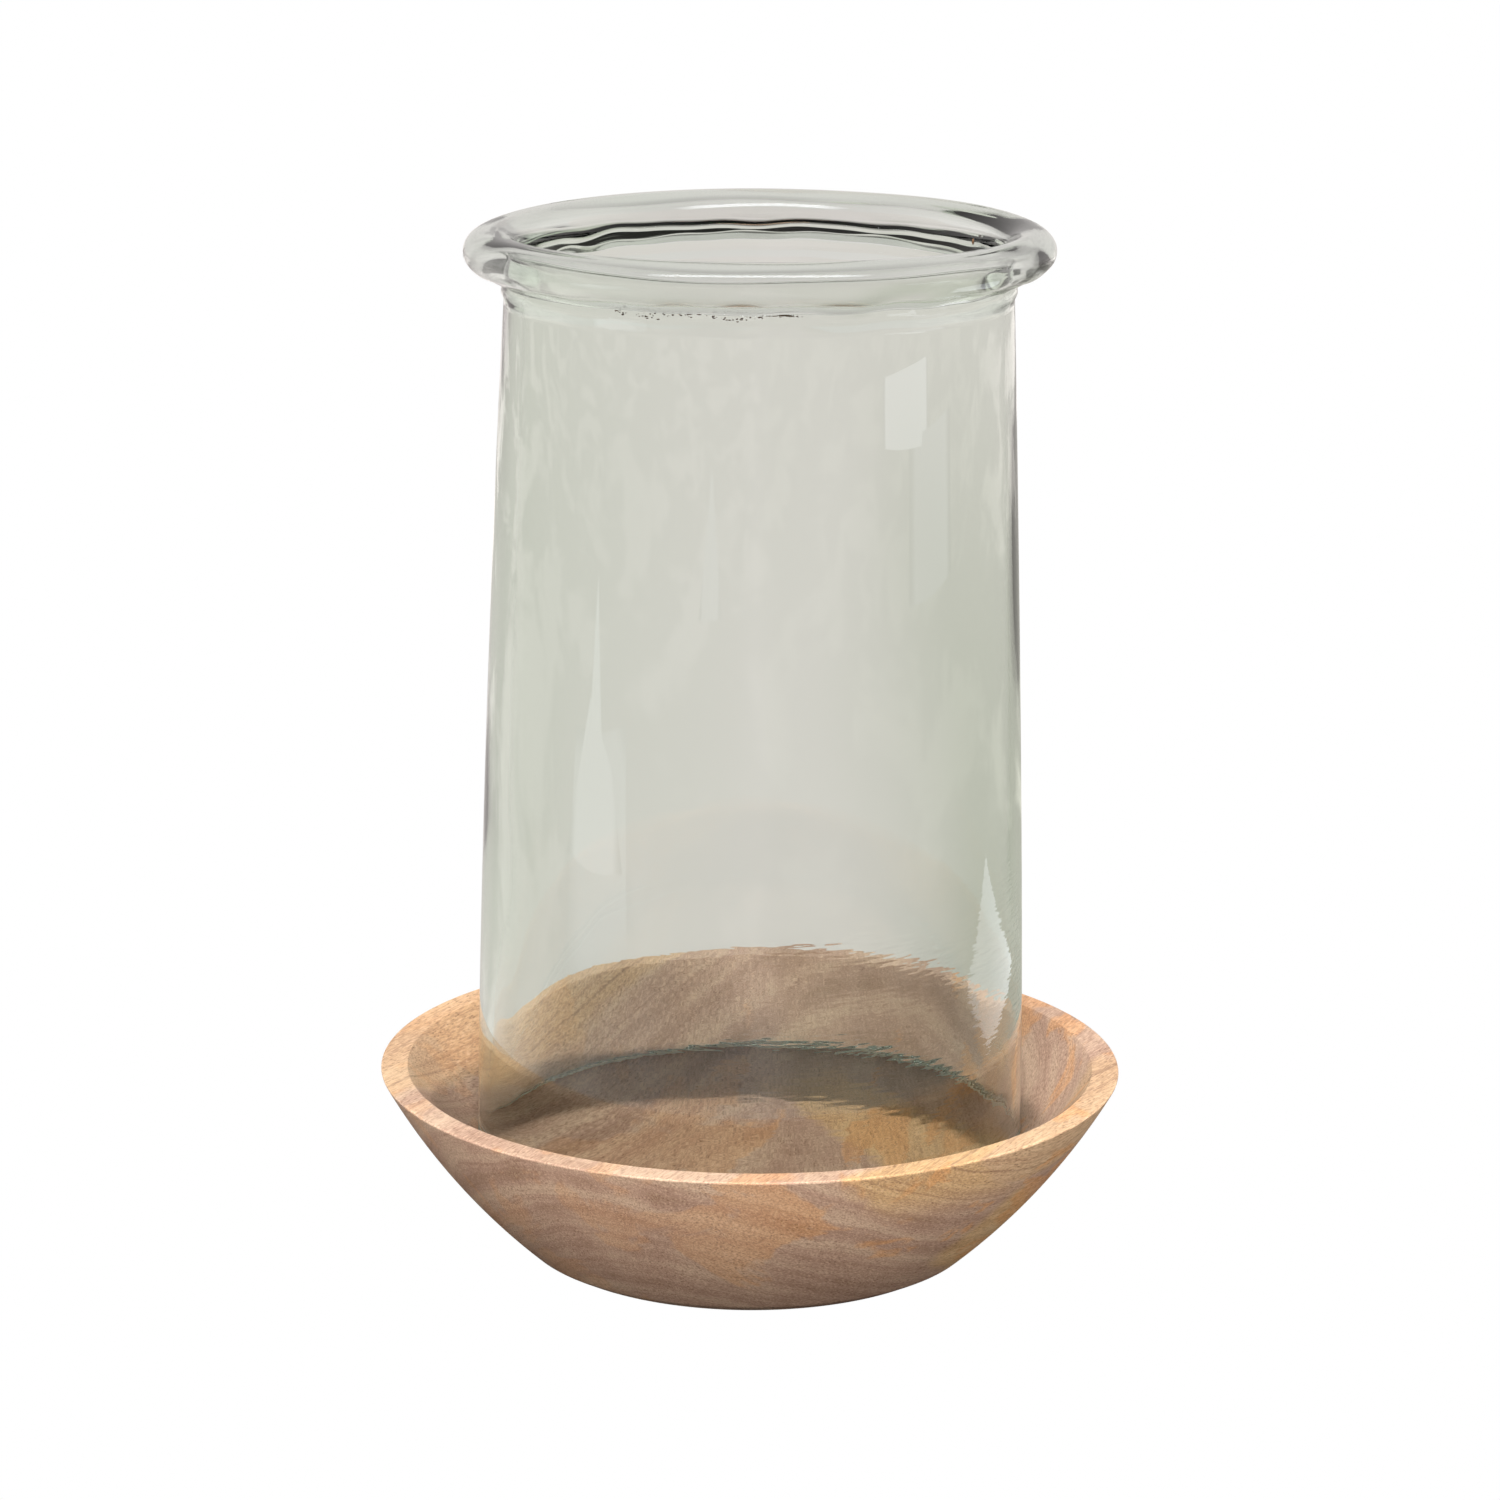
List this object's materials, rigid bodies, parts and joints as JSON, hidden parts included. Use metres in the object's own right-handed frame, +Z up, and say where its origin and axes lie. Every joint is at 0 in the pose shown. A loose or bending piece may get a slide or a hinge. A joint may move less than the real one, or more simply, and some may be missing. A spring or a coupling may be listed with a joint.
{
  "type": "glass cloche",
  "caption": "Open-ended blown glass cylinder with a thick rolled rim, standing loose in a turned wooden bowl.",
  "frame": {"origin": "middle of the bowl's foot, on the surface that it stands on", "axes": "+Z up along the axis that both pieces are turned about; the object is round, so X and Y are free"},
  "size_m": [0.299, 0.299, 0.4155],
  "materials": {
    "recycled_glass": "clear pale grey-green, polished, with a ground foot",
    "mango_wood": "oiled, semi-matt, streaked brown and gold"
  },
  "bodies": {
    "bowl": {"wooden_bowl": "mango_wood"},
    "glass": {"cloche_glass": "recycled_glass"}
  },
  "joints": [
    {"name": "glass_lift", "type": "slide", "parent": "bowl", "child": "glass", "axis": [0, 0, 1], "range_m": [0, 0.15]}
  ]
}
